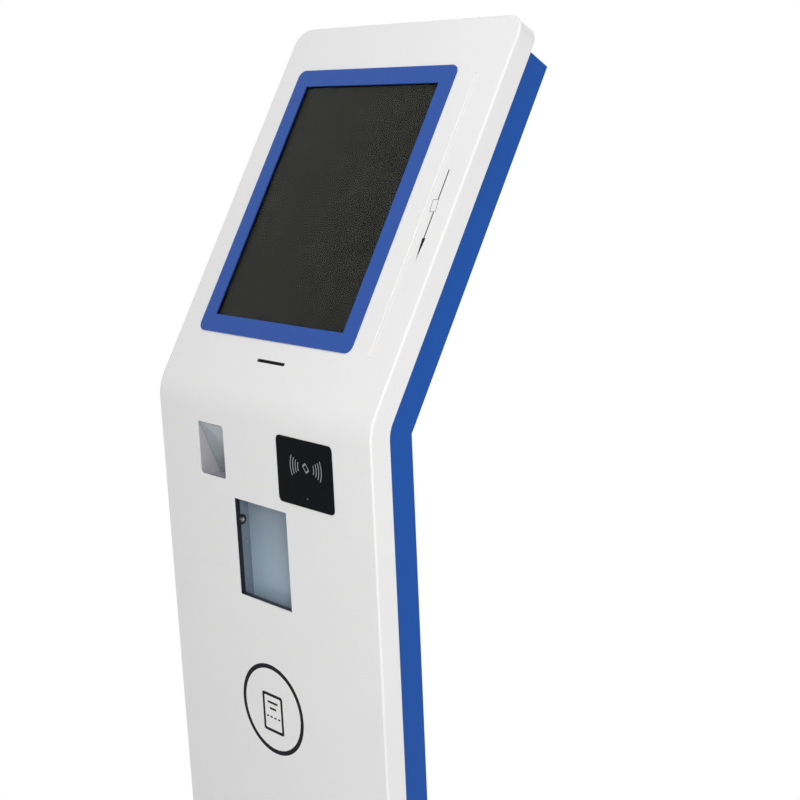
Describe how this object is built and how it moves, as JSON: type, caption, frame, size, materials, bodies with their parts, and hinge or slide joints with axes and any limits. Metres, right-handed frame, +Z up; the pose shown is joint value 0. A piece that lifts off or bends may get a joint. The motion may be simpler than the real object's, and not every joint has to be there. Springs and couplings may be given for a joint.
{
  "type": "queue ticket kiosk",
  "caption": "Floor-standing queue ticket kiosk: white folded front with tilted touch screen, card and code readers, ticket port with flap, and a blue rear cabinet with a service door.",
  "frame": {"origin": "on the floor under the middle of the base plate", "axes": "+Z up, front facing -Y, +X to the right seen from the front"},
  "size_m": [0.48, 0.38, 1.4226],
  "materials": {
    "white_coat": "satin white powder coat on folded steel sheet",
    "blue_coat": "satin blue powder coat on folded steel sheet",
    "blue_frame": "blue screen frame, satin",
    "grey_coat": "grey painted sheet inside the scanner niche",
    "port_steel": "blue grey gloss painted steel of the ticket port",
    "zinc_steel": "zinc plated sheet",
    "bare_steel": "turned steel",
    "screw_steel": "nickel plated fastener",
    "lock_metal": "chrome plated zinc casting",
    "black_plastic": "moulded black plastic",
    "gloss_black": "back-printed black acrylic",
    "white_plastic": "white moulded channel",
    "clear_glass": "toughened touch glass",
    "pane_glass": "tinted scanner pane",
    "display": "dark display panel",
    "board_green": "printed circuit board",
    "foam": "black closed-cell foam",
    "pad_rubber": "moulded rubber",
    "roller_rubber": "ground platen rubber",
    "gear_plastic": "natural acetal",
    "aluminium": "extruded aluminium",
    "ticket_paper": "thermal paper",
    "card_core": "wound card tube"
  },
  "bodies": {
    "root": {"front_shell": "white_coat", "rear_cabinet": "blue_coat", "head_cover": "blue_coat", "head_cover_screws": "screw_steel", "hinge_fixed_leaves": "blue_coat", "hinge_pins": "bare_steel", "base_plate": "blue_coat", "base_pads": "pad_rubber", "base_angles": "zinc_steel", "base_bolts": "screw_steel", "screen_bezel": "blue_frame", "screen_gasket": "foam", "touch_glass": "clear_glass", "display_panel": "display", "monitor_tray": "zinc_steel", "monitor_brackets": "zinc_steel", "monitor_nuts": "screw_steel", "monitor_board": "board_green", "card_reader": "black_plastic", "swipe_channel": "white_plastic", "swipe_reader": "black_plastic", "reader_window": "gloss_black", "reader_module": "black_plastic", "scanner_niche": "grey_coat", "scanner_pane": "pane_glass", "scanner_engine": "black_plastic", "port_collar": "black_plastic", "port_housing": "port_steel", "port_screws": "screw_steel", "flap_pin": "bare_steel", "printer_frame": "zinc_steel", "drive_bracket": "zinc_steel", "print_motor": "bare_steel", "cutter_body": "black_plastic", "roll_spindle": "bare_steel", "gear_plate": "zinc_steel", "computer": "black_plastic", "power_supply": "aluminium", "socket_strip": "white_plastic", "fan_frame": "black_plastic", "mains_inlet": "black_plastic"},
    "door": {"service_door": "blue_coat", "hinge_door_leaves": "blue_coat", "lock_body": "lock_metal", "lock_nut": "screw_steel"},
    "lock": {"lock_plug": "lock_metal", "lock_cam": "zinc_steel"},
    "flap": {"port_flap": "port_steel"},
    "lid": {"head_lid": "black_plastic", "print_head": "aluminium"},
    "platen": {"platen_roller": "roller_rubber", "platen_shaft": "bare_steel", "platen_gear": "gear_plastic"},
    "motor": {"motor_pinion": "bare_steel"},
    "paper": {"paper_core": "card_core", "paper_roll": "ticket_paper"},
    "cutter": {"cutter_blade": "bare_steel"},
    "button": {"power_button": "aluminium"},
    "rocker": {"rocker_switch": "gloss_black"},
    "fan": {"fan_rotor": "black_plastic"}
  },
  "joints": [
    {"name": "door_swing", "type": "hinge", "parent": "root", "child": "door", "pos_m": [-0.19075, -0.02972, 0.53056], "axis": [0, -0.0593, 0.9982], "range_deg": [0, 110]},
    {"name": "lock_turn", "type": "hinge", "parent": "door", "child": "lock", "pos_m": [0.162, -0.0417, 0.52985], "axis": [0, 0.9982, 0.0593], "range_deg": [-90, 0]},
    {"name": "flap_push", "type": "hinge", "parent": "root", "child": "flap", "pos_m": [-0.0062, -0.10295, 0.78516], "axis": [1, 0, 0], "range_deg": [0, 16]},
    {"name": "lid_open", "type": "hinge", "parent": "root", "child": "lid", "pos_m": [-0.0062, -0.07516, 0.82338], "axis": [1, 0, 0], "range_deg": [-18, 0]},
    {"name": "platen_turn", "type": "hinge", "parent": "root", "child": "platen", "pos_m": [-0.0062, -0.10143, 0.84386], "axis": [1, 0, 0], "continuous": true},
    {"name": "motor_turn", "type": "hinge", "parent": "root", "child": "motor", "pos_m": [0.052, -0.09315, 0.85637], "axis": [1, 0, 0], "continuous": true},
    {"name": "roll_turn", "type": "hinge", "parent": "root", "child": "paper", "pos_m": [-0.0062, -0.09477, 0.91738], "axis": [1, 0, 0], "continuous": true},
    {"name": "blade_cut", "type": "slide", "parent": "root", "child": "cutter", "axis": [0, -0.9982, -0.0593], "range_m": [0, 0.006]},
    {"name": "power_press", "type": "slide", "parent": "root", "child": "button", "axis": [0, -0.9982, -0.0593], "range_m": [0, 0.0015], "stiffness_N_per_m": 400, "springref_m": -0.001},
    {"name": "rocker_tip", "type": "hinge", "parent": "root", "child": "rocker", "pos_m": [0.0705, -0.01368, 0.1258], "axis": [1, 0, 0], "range_deg": [-16, 0]},
    {"name": "fan_turn", "type": "hinge", "parent": "root", "child": "fan", "pos_m": [-0.09, -0.02467, 0.12514], "axis": [0, 0.9982, 0.0593], "continuous": true}
  ],
  "couplings": [
    {"joint": "motor_turn", "follows": "platen_turn", "ratio": -2},
    {"joint": "roll_turn", "follows": "platen_turn", "ratio": -0.24138}
  ]
}
